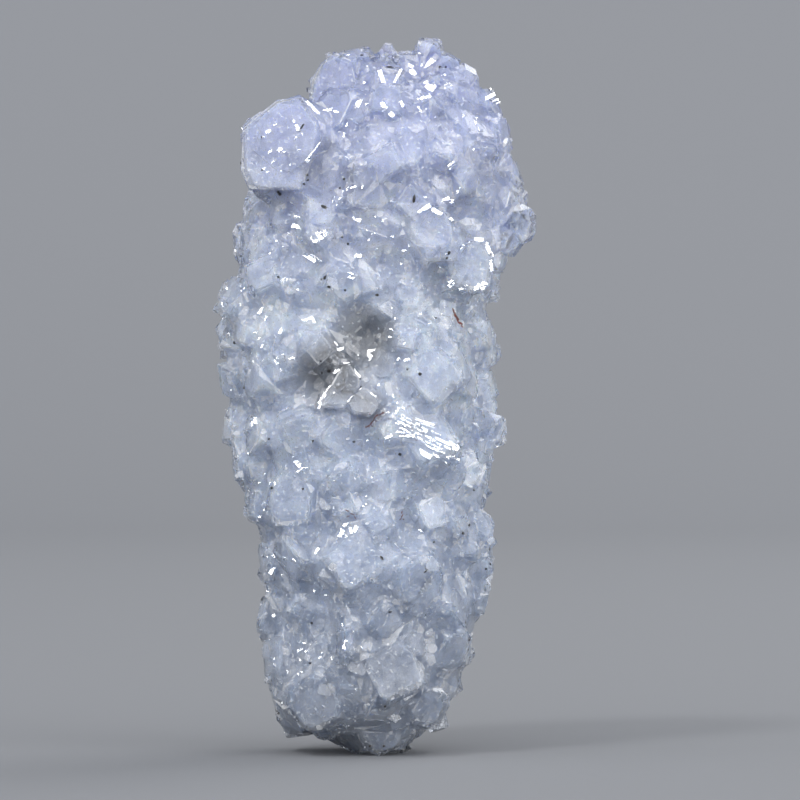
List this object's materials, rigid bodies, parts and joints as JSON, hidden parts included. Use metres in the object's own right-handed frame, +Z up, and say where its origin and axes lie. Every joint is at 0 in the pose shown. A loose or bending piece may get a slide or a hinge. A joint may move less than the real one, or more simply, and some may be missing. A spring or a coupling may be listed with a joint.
{
  "type": "apophyllite crystal cluster",
  "caption": "Upright finger-shaped cluster of clear, blocky crystals with flat square tops, grown together all over and standing on its narrow end.",
  "frame": {"origin": "middle of the flat foot, on the surface that the cluster stands on", "axes": "+Z up along the cluster, the pictured face looks along -Y, and +X is to the right of that face"},
  "size_m": [0.0588, 0.0459, 0.13],
  "materials": {
    "clear_crystal": "glossy natural crystal faces, clear at the surface and milky further in, very pale lilac blue"
  },
  "bodies": {
    "root": {"apophyllite_cluster": "clear_crystal"}
  },
  "joints": []
}
